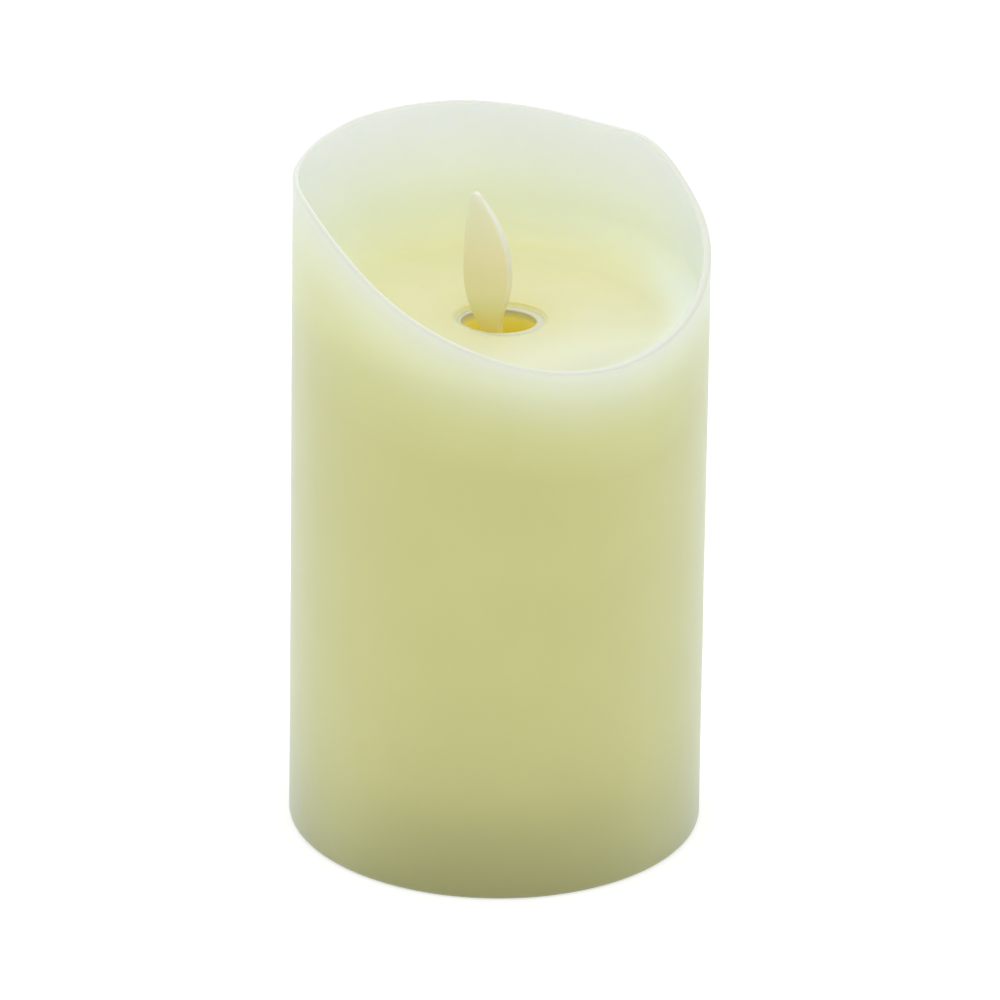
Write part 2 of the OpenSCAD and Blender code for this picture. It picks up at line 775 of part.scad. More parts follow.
module base_plate() {
    plate_r = hollow_r - 0.1;
    scoop_r = 5;
    color(white_plastic) difference() {
        union() {
            translate([0, 0, base_z]) cylinder(h = base_t, r = plate_r);
            // ring that centres the plate in the wax
            translate([0, 0, base_z]) difference() {
                cylinder(h = base_t + base_ring_h, r = plate_r);
                translate([0, 0, base_t]) cylinder(h = base_ring_h + eps, r = plate_r - base_ring_t);
            }
            // lugs for the door's hinge pins
            for (side = [-1, 1])
                translate([side * (knuckle_x + play / 2 + hinge_lug_l / 2), hinge_y - 0.1, base_z])
                    block([hinge_lug_l, 2 * knuckle_r + 0.6, base_t + 1]);
        }
        // opening for the battery door, and for its knuckles
        translate([0, (play - hinge_gap) / 2, base_z - eps])
            block([door_l + 2 * play, door_w + play + hinge_gap, base_t + 2 * eps]);
        for (side = [-1, 1]) translate([side * (knuckle_x - knuckle_l / 2), hinge_y, base_z - eps])
            block([knuckle_l + play, 2 * knuckle_r + 1.4, base_t + 3 * eps]);
        for (side = [-1, 1]) translate([side * (knuckle_x + hinge_pin_l / 2), hinge_y, hinge_z])
            rotate([0, 90, 0]) cylinder(h = hinge_pin_l + play, r = hinge_pin_r + gap, center = true);
        // scoop for a finger at the free edge of the door
        translate([0, door_w / 2 + play, base_z - 3.8]) sphere(r = scoop_r);
        // slot for the switch knob, and blind holes for the switch's screws
        translate([0, switch_y, base_z - eps])
            block([knob_l + 2 * switch_travel + play, knob_w + play, base_t + 2 * eps]);
        for (side = [-1, 1]) translate([side * switch_screw_x, switch_y, base_z + 0.4])
            cylinder(h = base_t, r = switch_screw_r + gap);
        // base screws, with their heads sunk
        for (x = [-base_screw_x, base_screw_x], y = [-base_screw_y, base_screw_y])
            translate([x, y, base_z - eps]) {
                cylinder(h = base_t + 2 * eps, r = base_screw_r + gap);
                cylinder(h = base_head_h + eps, r = big_head_r + gap);
            }
    }
}

module base_screws() {
    color(steel) for (x = [-base_screw_x, base_screw_x], y = [-base_screw_y, base_screw_y])
        translate([x, y, base_z + base_head_h]) rotate([180, 0, 0])
            screw(base_screw_r, base_t - base_head_h + flange_t, big_head_r, base_head_h - 0.1);
}

module battery_door() {
    arm_l = -hinge_y - door_w / 2 + 0.6;
    root = 0.5;                  // the pins start inside the knuckles
    color(white_plastic) difference() {
        union() {
            translate([0, 0, base_z]) block([door_l, door_w, door_t]);
            for (side = [-1, 1]) translate([side * (knuckle_x - knuckle_l / 2), hinge_y, 0]) {
                translate([0, 0, hinge_z]) rotate([0, 90, 0])
                    cylinder(h = knuckle_l, r = knuckle_r, center = true);
                translate([0, arm_l / 2, base_z]) block([knuckle_l, arm_l, door_t]);
            }
            for (side = [-1, 1])
                translate([side * (knuckle_x + (hinge_pin_l - root) / 2), hinge_y, hinge_z])
                    rotate([0, 90, 0]) cylinder(h = hinge_pin_l + root, r = hinge_pin_r, center = true);
        }
        // grip grooves along the free edge
        for (y = [1.8:1.6:6.6]) translate([0, door_w / 2 - y, base_z - 0.5]) block([12, 0.6, 0.9]);
    }
}

// Sheet on the door's inside that joins the two cells in series
module bridge_contact() {
    color(steel) translate([0, 0, door_in]) {
        block([2 * cell_x + plate_w, plate_w, plate_t]);
        translate([cell_x, 0, 0]) cylinder(h = plate_t + dimple_h, r = 2);
    }
}

module door_spring() {
    color(steel) translate([-cell_x, 0, door_in + plate_t])
        spring(4.4, 3, cell_1_z - door_in - plate_t, 2.5, spring_wire_r);
}

// Three-position slide switch: on, off, timer
module switch_body() {
    can_wall = 0.6;
    stem_slot_l = knob_stem_l + 2 * switch_travel + play;
    color(steel) translate([0, switch_y, base_top]) difference() {
        union() {
            block([switch_ear_l, switch_w, switch_plate_t]);
            block([switch_can_l, switch_w, switch_can_h]);
            for (x = switch_pin_x) translate([x, 0, switch_can_h - join])
                block([1, 0.4, switch_pin_h + join]);
        }
        translate([0, 0, -eps])
            block([stem_slot_l, knob_stem_w + play, switch_can_h - can_wall + eps]);
        for (side = [-1, 1]) translate([side * switch_screw_x, 0, -eps])
            cylinder(h = switch_plate_t + 2 * eps, r = switch_screw_r + gap);
    }
}

module switch_knob() {
    knob_bottom = base_z + 0.1;
    knob_h = base_t - 0.2;
    color([0.2, 0.2, 0.21]) translate([0, switch_y, knob_bottom]) difference() {
        union() {
            block([knob_l, knob_w, knob_h]);
            translate([0, 0, knob_h - join]) block([knob_stem_l, knob_stem_w, knob_stem_h + 3 * join]);
        }
        for (x = [-1.2, 0, 1.2]) translate([x, 0, -0.5]) block([0.5, knob_w + eps, 1]);
    }
}

module switch_screws() {
    color(steel) for (side = [-1, 1])
        translate([side * switch_screw_x, switch_y, base_top + switch_plate_t])
            screw(switch_screw_r, 2.2, 1.5, 1);
}

// Three leads from the switch up past the bay to the underside of the board
module switch_leads() {
    pin_top = base_top + switch_can_h + switch_pin_h;
    color([0.85, 0.75, 0.2]) for (x = switch_pin_x)
        lead([[x, switch_y, pin_top], [x, switch_y, pin_top + 2], [x, switch_y - 4, pin_top + 10],
            [x, switch_y - 4, deck_z - 12], [x, switch_y + 1, deck_z - 2], [x, switch_y + 1, board_z]]);
}

wax_shell();
flame_collar();
flame();
flame_magnet();
pivot_wire();
case_left();
case_right();
case_screws();
coil_bobbin();
coil_winding();
coil_leads();
led();
led_holder();
led_leads();
control_board();
control_chip();
capacitor();
driver_transistor();
resistors();
lead_sockets();
board_screws();
engine_screws();
battery_housing();
positive_terminal();
negative_terminal();
negative_spring();
positive_lead();
negative_lead();
cell_1();
cell_2();
base_plate();
base_screws();
battery_door();
bridge_contact();
door_spring();
switch_body();
switch_knob();
switch_screws();
switch_leads();
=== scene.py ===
"""Looks of a flameless pillar candle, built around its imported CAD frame. Lengths are in metres."""

import json
import math

import bmesh
import bpy
import numpy as np
from mathutils import Matrix, Quaternion, Vector, noise
from mathutils.bvhtree import BVHTree


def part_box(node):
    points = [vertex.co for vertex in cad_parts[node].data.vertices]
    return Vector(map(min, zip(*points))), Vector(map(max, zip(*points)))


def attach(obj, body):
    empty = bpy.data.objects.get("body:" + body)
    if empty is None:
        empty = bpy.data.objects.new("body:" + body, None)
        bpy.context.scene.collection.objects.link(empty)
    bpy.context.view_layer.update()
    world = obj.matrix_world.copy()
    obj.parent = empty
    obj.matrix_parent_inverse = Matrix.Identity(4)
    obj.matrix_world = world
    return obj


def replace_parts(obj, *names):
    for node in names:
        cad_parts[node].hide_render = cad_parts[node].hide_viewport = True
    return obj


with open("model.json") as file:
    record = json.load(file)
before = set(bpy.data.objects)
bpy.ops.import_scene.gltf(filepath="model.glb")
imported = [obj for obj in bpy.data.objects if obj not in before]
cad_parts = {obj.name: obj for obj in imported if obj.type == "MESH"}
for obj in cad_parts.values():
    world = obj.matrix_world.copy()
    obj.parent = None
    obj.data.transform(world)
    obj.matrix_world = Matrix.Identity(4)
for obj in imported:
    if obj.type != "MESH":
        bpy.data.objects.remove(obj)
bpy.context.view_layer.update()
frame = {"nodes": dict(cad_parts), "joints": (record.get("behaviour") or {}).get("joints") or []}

MM = 0.001
HAIR = 0.01 * MM
UP = Vector((0, 0, 1))

# ---- Sizes that the looks add to the frame -----------------------------------------------

# wax: the rim's width, how much wider it is on the right, its corners, the bowl and the foot
RIM_LAND = 1.3 * MM
RIM_SKEW = 0.25 * MM
RIM_OUTER_ROUND = 0.6 * MM
RIM_INNER_ROUND = 0.35 * MM
RIM_RISE = 0.35 * MM
FOOT_ROUND = 1.0 * MM
BOWL_FLOOR_R = 29.5 * MM
BOWL_CURVE = 8.0 * MM
WALL_DRAFT = 0.2 * MM
# the pool sinks and tips a little towards the opening, and its edge slopes down to the collar
POOL_SINK = 0.35 * MM
POOL_TIP = 0.38 * MM
EDGE_WIDTH = 0.75 * MM
EDGE_LAP = 0.2 * MM
# wax that ran over the collar or away from it: azimuths and widths in degrees
RUN_OVER = {"at": -44, "width": 34, "reach": 0.65 * MM, "rise": 0.12 * MM}
RUN_DOWN = {"at": 40, "width": 55, "drop": 0.25 * MM}
# surface waves of cast wax
CAST_WAVE = 0.05 * MM
POOL_WAVE = 0.10 * MM
WAVE_LENGTH = 14 * MM

# collar: its ring sits a little askew, with a bore that is off centre
RING_RISE = 0.25 * MM
RING_TIP = 0.65 * MM
RING_ROUND = 0.3 * MM
BORE_SHIFT = -0.35 * MM

# flame: rounded corners and slightly domed faces
FLAME_CORNER = 0.28 * MM
FLAME_DOME = 0.12 * MM

# camera, fitted to the candle's outline in the photograph with the pillar 3 inch across
CAMERA_RISE = math.radians(24.72)
CAMERA_AWAY = 2.0351
CAMERA_LENS = 399.3
CAMERA_ROLL = math.radians(0.793)
CAMERA_AIM = Vector((0.00031, 0, 0.0630))


# ---- Reading the frame -------------------------------------------------------------------

def solid_tree(node, inverse=None):
    """A ray-casting tree of a CAD node, in the row frame or in another frame of axes."""
    mesh = frame["nodes"][node].data
    corners = [inverse @ v.co if inverse else v.co.copy() for v in mesh.vertices]
    return BVHTree.FromPolygons(corners, [tuple(p.vertices) for p in mesh.polygons])


def hit(tree, start, way):
    """Where a ray first meets the solid."""
    return tree.ray_cast(Vector(start), Vector(way))[0]


def around(azimuth, radius, height):
    """A point round the candle: azimuth 0 faces the camera and grows to the right."""
    return (radius * math.sin(azimuth), -radius * math.cos(azimuth), height)


def middle(node):
    low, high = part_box(node)
    return (low + high) / 2


# ---- Meshes ------------------------------------------------------------------------------

def mesh_piece(name, points, faces):
    """A smooth-shaded object from its points and faces, with every face turned outwards."""
    mesh = bpy.data.meshes.new(name)
    mesh.from_pydata([tuple(p) for p in points], [], faces)
    skin = bmesh.new()
    skin.from_mesh(mesh)
    bmesh.ops.recalc_face_normals(skin, faces=skin.faces)
    skin.to_mesh(mesh)
    skin.free()
    mesh.shade_smooth()
    piece = bpy.data.objects.new(name, mesh)
    bpy.context.scene.collection.objects.link(piece)
    return piece


def loop_faces(rows, columns):
    """Quads of a closed ring of rows and columns, for a grid stored row by row."""
    faces = []
    for i in range(rows):
        for j in range(columns):
            a = i * columns + j
            b = i * columns + (j + 1) % columns
            c = (i + 1) % rows * columns + (j + 1) % columns
            d = (i + 1) % rows * columns + j
            faces.append((a, b, c, d))
    return faces


def lathe(profile, sides):
    """Points and faces of a closed profile of (radius, height) pairs turned once round the axis."""
    points = [around(2 * math.pi * j / sides, r, z) for r, z in profile for j in range(sides)]
    return points, loop_faces(len(profile), sides)


def arc(centre_r, centre_z, radius, start, end, steps):
    """Profile points along an arc, with angles in degrees from outwards, counter-clockwise."""
    turns = [math.radians(start + (end - start) * i / steps) for i in range(steps + 1)]
    return [(centre_r + radius * math.cos(t), centre_z + radius * math.sin(t)) for t in turns]


def keep_attribute(piece, name, values):
    """Stores one number per point for a material to read."""
    made = piece.data.attributes.new(name, "FLOAT", "POINT")
    made.data.foreach_set("value", np.asarray(values, np.float32).ravel())


def hump(angle, at, width):
    """1 at an azimuth, falling smoothly to 0 over a width; all in degrees."""
    away = (angle - at + 180) % 360 - 180
    return np.exp(-((away / width) ** 4))


# ---- Wax ---------------------------------------------------------------------------------

WAX_SIDES = 288
RIM_STATIONS = 72
RIM_WAVES = 24

wax_tree = solid_tree("wax_shell")
wax_low, wax_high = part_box("wax_shell")
wax_r = (wax_high.x - wax_low.x) / 2
hollow_r = hit(wax_tree, (0, 0, wax_high.z / 2), (1, 0, 0)).x
roof_z = hit(wax_tree, (hollow_r / 2, 0, wax_high.z / 2), UP).z
pool_z = hit(wax_tree, (hollow_r / 2, 0, 2 * wax_high.z), -UP).z
collar_tree = solid_tree("flame_collar")
collar_low, collar_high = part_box("flame_collar")
collar_top = collar_high.z
ring_r = hit(collar_tree, (wax_r, 0, collar_top - MM), (-1, 0, 0)).x


def rim_harmonics():
    """The rim's height round the candle, as the waves that add up to it."""
    heights = []
    for i in range(RIM_STATIONS):
        start = around(2 * math.pi * i / RIM_STATIONS, wax_r - RIM_LAND / 2, 2 * wax_high.z)
        heights.append(hit(wax_tree, start, -UP).z)
    return np.fft.rfft(heights) / RIM_STATIONS


def rim_field(waves, azimuth, radius):
    """The rim's height, carried smoothly inwards from the edge as a stretched film would be."""
    field = np.full(np.broadcast(azimuth, radius).shape, waves[0].real)
    share = np.minimum(radius / wax_r, 1)
    for n in range(1, RIM_WAVES):
        field = field + 2 * share ** n * (waves[n] * np.exp(1j * n * azimuth)).real
    return field


def pool_height(radius, degrees):
    """The pool's floor: flat far out, and sinking and tipping towards the opening."""
    near = ring_r / radius
    return pool_z - POOL_SINK * near ** 2 + POOL_TIP * near * np.cos(np.radians(degrees))


def ring_height(degrees):
    """The top of the collar's ring round the flame."""
    return collar_top + RING_RISE + RING_TIP * np.cos(np.radians(degrees))


def wax_section(rim, degrees):
    """Rows of (radius, height, part) once round the wax; each radius and height is per azimuth."""
    rows = []

    def add(part, radius, height):
        rows.append((radius + 0 * rim, height + 0 * rim, part))

    for r, z in arc(wax_r - FOOT_ROUND, FOOT_ROUND, FOOT_ROUND, -90, 0, 6):
        add("foot", r, z)
    for s in np.linspace(0, 1, 72)[1:-1]:
        add("side", wax_r, FOOT_ROUND + (rim - RIM_OUTER_ROUND - FOOT_ROUND) * s)
    for r, z in arc(wax_r - RIM_OUTER_ROUND, -RIM_OUTER_ROUND, RIM_OUTER_ROUND, 0, 90, 5):
        add("rim", r, rim + z)
    land_r = wax_r - RIM_LAND - RIM_SKEW * np.sin(np.radians(degrees))
    for r, z in arc(land_r + RIM_INNER_ROUND, -RIM_INNER_ROUND, RIM_INNER_ROUND, 90, 180, 6):
        add("lip", r, rim + z)

    wall_r = land_r - WALL_DRAFT
    wall_top = rim - RIM_INNER_ROUND
    foot_z = pool_height(BOWL_FLOOR_R, degrees)
    drop = wall_top - foot_z
    curve = BOWL_CURVE * (1 - np.exp(-0.8 * drop / BOWL_CURVE))
    for s in np.linspace(0, 1, 26)[1:-1]:
        add("bowl", land_r - WALL_DRAFT * s, wall_top - (drop - curve) * s)
    for t in np.radians(np.linspace(90, 0, 18)):
        curve_r = BOWL_FLOOR_R + (wall_r - BOWL_FLOOR_R) * math.sin(t)
        add("bowl", curve_r, foot_z + curve * (1 - math.cos(t)))

    over = hump(degrees, RUN_OVER["at"], RUN_OVER["width"])
    down = hump(degrees, RUN_DOWN["at"], RUN_DOWN["width"])
    ring_z = ring_height(degrees)
    hole_r = ring_r + HAIR
    edge_r = hole_r - EDGE_LAP - RUN_OVER["reach"] * over
    start_r = edge_r + EDGE_WIDTH
    start_z = 0
    for s in np.linspace(0, 1, 32)[1:]:
        radius = BOWL_FLOOR_R + (start_r - BOWL_FLOOR_R) * s
        start_z = pool_height(radius, degrees) - RUN_DOWN["drop"] * down * s ** 6
        add("bowl", radius, start_z)
    edge_z = ring_z + 4 * HAIR + RUN_OVER["rise"] * over
    sink = start_z - edge_z
    for s in (0.06, 0.14, 0.26, 0.42, 0.6, 0.8, 0.97, 1):
        share = np.where(sink > 0, 1 - (1 - s) ** 3, s ** 3)
        add("hole", start_r - EDGE_WIDTH * s, start_z - sink * share)
    for r, z in arc(ring_r - RING_ROUND, -RING_ROUND, RING_ROUND + HAIR, 80, 0, 5):
        add("hole", np.maximum(r, edge_r + HAIR), ring_z + z)
    for s in np.linspace(0, 1, 9)[1:]:
        add("hole", hole_r, ring_z - RING_ROUND + (roof_z + RING_ROUND - ring_z) * s)
    for s in np.linspace(0, 1, 10)[1:-1]:
        add("inside", hole_r + (hollow_r - hole_r) * s, roof_z)
    for r, z in arc(hollow_r - MM, roof_z - MM, MM, 90, 0, 4):
        add("inside", r, z)
    for s in np.linspace(0, 1, 14)[1:-1]:
        add("inside", hollow_r, roof_z - MM - (roof_z - 1.5 * MM) * s)
    add("inside", hollow_r, 0.4 * MM)
    add("foot", hollow_r + 0.4 * MM, 0)
    add("foot", (hollow_r + wax_r - FOOT_ROUND) / 2, 0)
    return rows


def wave(point, length):
    """Smooth repeatable unevenness, between about -1 and 1."""
    return noise.noise(Vector(point) / length) + 0.4 * noise.noise(Vector(point) / length * 2.3)


def make_wax():
    """The cast pillar: outside wall, melted rim, bowl, the opening and the hollow, as one closed skin."""
    azimuth = 2 * math.pi * np.arange(WAX_SIDES) / WAX_SIDES
    waves = rim_harmonics()
    rim = RIM_RISE + rim_field(waves, azimuth, wax_r)
    rim = rim + 0.08 * MM * np.array([wave(around(a, wax_r, 0), 6 * MM) for a in azimuth])
    points, film, bowl = [], [], []
    for radius, height, part in wax_section(rim, np.degrees(azimuth)):
        film.append(rim_field(waves, azimuth, radius))
        bowl.append(np.full(WAX_SIDES, float(part in ("lip", "bowl", "hole"))))
        for a, r, z in zip(azimuth, radius, height):
            spot = Vector(around(a, r, z))
            if part == "side":
                fade = min(1, (z - FOOT_ROUND) / (8 * MM))
                r += CAST_WAVE * fade * (wave(spot, WAVE_LENGTH) - 0.9)
            if part == "bowl":
                fade = min(1, max(0, (r - ring_r - 2 * EDGE_WIDTH) / (5 * MM)))
                z += POOL_WAVE * fade * wave(spot, WAVE_LENGTH / 2)
            points.append(around(a, r, z))
    faces = loop_faces(len(film), WAX_SIDES)
    piece = mesh_piece("wax_pillar", points, faces)
    keep_attribute(piece, "rim", film)
    keep_attribute(piece, "bowl", bowl)
    keep_attribute(piece, "radius", np.hypot([p[0] for p in points], [p[1] for p in points]))
    return piece


# ---- Collar ------------------------------------------------------------------------------

COLLAR_SIDES = 144


def make_collar():
    """The ring round the flame with its bore, and the skirt that clips over the light engine."""
    azimuth = 2 * math.pi * np.arange(COLLAR_SIDES) / COLLAR_SIDES
    degrees = np.degrees(azimuth)
    bore_r = hit(collar_tree, (0, 0, collar_top - 2 * MM), (1, 0, 0)).x
    flange_r = collar_high.x
    flange_z = hit(collar_tree, ((ring_r + flange_r) / 2, 0, 2 * collar_top), -UP).z
    skirt_r = hit(collar_tree, (0, 0, collar_low.z + 0.3 * MM), (1, 0, 0)).x
    shelf_z = hit(collar_tree, ((bore_r + skirt_r) / 2, 0, collar_low.z), UP).z
    top = ring_height(degrees)
    flat = 0 * degrees
    rows = []
    for s in np.linspace(0, 1, 16):
        rows.append((bore_r + flat, shelf_z + (top - RING_ROUND - shelf_z) * s, 0.001 + s ** 2))
    for r, z in arc(bore_r + RING_ROUND, -RING_ROUND, RING_ROUND, 180, 90, 5)[1:]:
        rows.append((r + flat, top + z, 1))
    for r, z in arc(ring_r - RING_ROUND, -RING_ROUND, RING_ROUND, 90, 0, 5):
        rows.append((r + flat, top + z, 0))
    for r, z in ((ring_r, flange_z), (flange_r, flange_z), (flange_r, collar_low.z),
                 (skirt_r, collar_low.z), (skirt_r, shelf_z)):
        rows.append((r + flat, z + flat, 0))
    points, depths = [], []
    for radius, height, shift in rows:
        depths.append((top - height) * (shift > 0))
        for a, r, z in zip(azimuth, radius, height):
            x, y, z = around(a, r, z)
            points.append((x + BORE_SHIFT * shift, y, z))
    piece = mesh_piece("collar_ring", points, loop_faces(len(rows), COLLAR_SIDES))
    keep_attribute(piece, "depth", depths)
    return piece


# ---- Flame -------------------------------------------------------------------------------

swing = next(j for j in frame["joints"] if j["name"] == "flame_swing")
wire = Vector(swing["pos_m"])
flame_up = (wire - middle("flame_magnet")).normalized()
flame_across = Vector(swing["axis"]).normalized()
flame_right = flame_across.cross(flame_up)
flame_axes = Matrix((flame_right, flame_across, flame_up)).transposed().to_4x4()
flame_axes.translation = wire


def slab_section(left, right, half):
    """Section of a slab: (across, thick, edge) points; edge is 1 on narrow sides and 0 on faces."""
    corner = min(FLAME_CORNER, 0.8 * half, 0.3 * (right - left))
    centre, reach = (left + right) / 2, (right - left) / 2 - corner
    points = []
    for side in (1, -1):
        for t in np.radians(np.linspace(0, 90, 6)):
            points.append((centre + side * (reach + corner * math.cos(t)),
                           side * (half - corner + corner * math.sin(t)), math.cos(t) ** 0.5))
        for u in np.linspace(1, -1, 11)[1:-1]:
            points.append((centre + side * reach * u, side * (half + FLAME_DOME * (1 - u * u)), 0.0))
        for t in np.radians(np.linspace(90, 0, 6)):
            points.append((centre - side * (reach + corner * math.cos(t)),
                           side * (half - corner + corner * math.sin(t)), math.cos(t) ** 0.5))
    return points


def loft(levels, half):
    """Points, faces and per-point values of a slab from its left and right edges at each level."""
    points, edges, heights = [], [], []
    for (z, left, right), thick in zip(levels, half):
        section = slab_section(left, right, thick)
        points += [(x, y, z) for x, y, edge in section]
        edges += [edge for x, y, edge in section]
        heights += [z] * len(section)
    sides = len(points) // len(levels)
    faces = loop_faces(len(levels), sides)[:-sides]
    faces.append(tuple(range(sides)))
    faces.append(tuple(range(len(points) - sides, len(points))))
    return points, faces, edges, heights


def make_flame():
    """The swinging flame: stem and blade, hub on the wire, tail and magnet cup."""
    inverse = flame_axes.inverted()
    tree = solid_tree("flame", inverse)
    corners = [inverse @ v.co for v in frame["nodes"]["flame"].data.vertices]
    tip_z = max(c.z for c in corners)
    cup_z = min(c.z for c in corners)
    far = wax_r

    def edges_at(z):
        return (z, hit(tree, (-far, 0, z), (1, 0, 0)).x, hit(tree, (far, 0, z), (-1, 0, 0)).x)

    half = abs(hit(tree, (0, -far, tip_z / 2), (0, 1, 0)).y)
    hub_r = edges_at(0)[2]
    hub_half = abs(hit(tree, (hub_r / 2, -far, 0), (0, 1, 0)).y)
    bore_r = hit(tree, (0, 0, 0), (1, 0, 0)).x
    cup_r = edges_at(cup_z + 0.5 * MM)[2]
    pocket_r = hit(tree, (0, 0, cup_z + 0.5 * MM), (1, 0, 0)).x
    pocket_z = hit(tree, (0, 0, cup_z - MM), UP).z
    cup_top = hit(tree, (0.95 * cup_r, 0, 0), -UP).z

    root = hub_r / 2
    shares = [math.sin(math.pi / 2 * i / 63) ** 1.1 for i in range(64)]
    blade = [edges_at(root + (tip_z - 0.03 * MM - root) * s) for s in shares]
    thin = [half * min(1, 0.3 + 0.7 * ((tip_z - z) / (0.22 * tip_z)) ** 0.6) for z, _, _ in blade]
    tail_x = edges_at((cup_top - hub_r) / 2)[2]
    tail = [(z, -tail_x, tail_x) for z in np.linspace(cup_top - 0.4 * MM, -root, 8)]

    points, faces, edges, heights = [], [], [], []

    def join(part):
        more, skin, edge, height = part
        faces.extend(tuple(len(points) + i for i in f) for f in skin)
        points.extend(more)
        edges.extend(edge)
        heights.extend(height)

    def turned(profile, swap):
        ring, skin = lathe(profile, 64)
        ring = [(x, z, -y) if swap else (x, y, z) for x, y, z in ring]
        return ring, skin, [0.0] * len(ring), [p[2] for p in ring]

    join(loft(blade, thin))
    join(loft(tail, [half] * len(tail)))
    r = FLAME_CORNER
    join(turned([(bore_r, -hub_half)] + arc(hub_r - r, r - hub_half, r, -90, 0, 4)
                + arc(hub_r - r, hub_half - r, r, 0, 90, 4) + [(bore_r, hub_half)], True))
    join(turned([(pocket_r, cup_z)] + arc(cup_r - r, cup_z + r, r, -90, 0, 4)
                + arc(cup_r - r, cup_top - r, r, 0, 90, 4)
                + [(0.02 * MM, cup_top), (0.02 * MM, pocket_z), (pocket_r, pocket_z)], False))
    piece = mesh_piece("flame_blade", [flame_axes @ Vector(p) for p in points], faces)
    keep_attribute(piece, "height", heights)
    keep_attribute(piece, "edge", edges)
    return piece


# ---- Materials ---------------------------------------------------------------------------

def srgb(red, green, blue):
    """A colour as seen on a screen, 0 to 255, in the linear values that shader nodes take."""
    shares = [c / 255 for c in (red, green, blue)]
    return tuple(((c + 0.055) / 1.055) ** 2.4 for c in shares) + (1.0,)


class Shader:
    """One material and short ways to add nodes to it."""

    def __init__(self, name):
        self.material = bpy.data.materials.new(name)
        self.material.use_nodes = True
        self.tree = self.material.node_tree
        self.tree.nodes.clear()
        self.place = self.add("TexCoord").outputs["Object"]

    def add(self, kind, settings=None, **inputs):
        """A node; each input is a value or another node's output."""
        made = self.tree.nodes.new("ShaderNode" + kind)
        for name, value in (settings or {}).items():
            setattr(made, name, value)
        for name, value in inputs.items():
            self.put(made.inputs[name.replace("_", " ")], value)
        return made

    def put(self, socket, value):
        if isinstance(value, bpy.types.NodeSocket):
            self.tree.links.new(value, socket)
        else:
            socket.default_value = value

    def sum(self, how, *values):
        """A math node's result."""
        made = self.add("Math", {"operation": how})
        for socket, value in zip(made.inputs, values):
            self.put(socket, value)
        return made.outputs[0]

    def ramp(self, share, stops, interpolation="LINEAR"):
        """A colour ramp from (place, colour) stops."""
        made = self.add("ValToRGB", Fac=share)
        made.color_ramp.interpolation = interpolation
        ends = made.color_ramp.elements
        while len(ends) < len(stops):
            ends.new(0.5)
        for end, (place, colour) in zip(ends, stops):
            end.position = place
            end.color = colour
        return made.outputs["Color"]

    def mix(self, share, first, second, how="MIX"):
        """Two colours mixed."""
        made = self.add("Mix", {"data_type": "RGBA", "blend_type": how})
        self.put(made.inputs["Factor"], share)
        self.put(made.inputs["A"], first)
        self.put(made.inputs["B"], second)
        return made.outputs["Result"]

    def speckle(self, length, detail=3.0):
        """Noise from 0 to 1 with features of about the given length."""
        return self.add("TexNoise", Vector=self.place, Scale=1 / length, Detail=detail).outputs["Fac"]

    def between(self, value, low, high):
        """Noise or any 0 to 1 value turned into a range."""
        return self.sum("MULTIPLY_ADD", value, high - low, low)

    def cloud(self, length, low, high):
        """A grey that drifts between two levels, to multiply a colour by."""
        level = self.between(self.speckle(length), low, high)
        return self.add("CombineXYZ", X=level, Y=level, Z=level).outputs[0]

    def finish(self, **inputs):
        """Joins a Principled surface to the output."""
        surface = self.add("BsdfPrincipled", **inputs)
        out = self.add("OutputMaterial")
        self.tree.links.new(surface.outputs["BSDF"], out.inputs["Surface"])
        return self.material


def bumps(shader, height, distance, strength=1.0, edge=None):
    """A bumped normal, on rounded edges if an edge radius is given."""
    base = {}
    if edge:
        base["Normal"] = shader.add("Bevel", {"samples": 4}, Radius=edge).outputs["Normal"]
    bump = shader.add("Bump", Height=height, Distance=distance, Strength=strength, **base)
    return bump.outputs["Normal"]


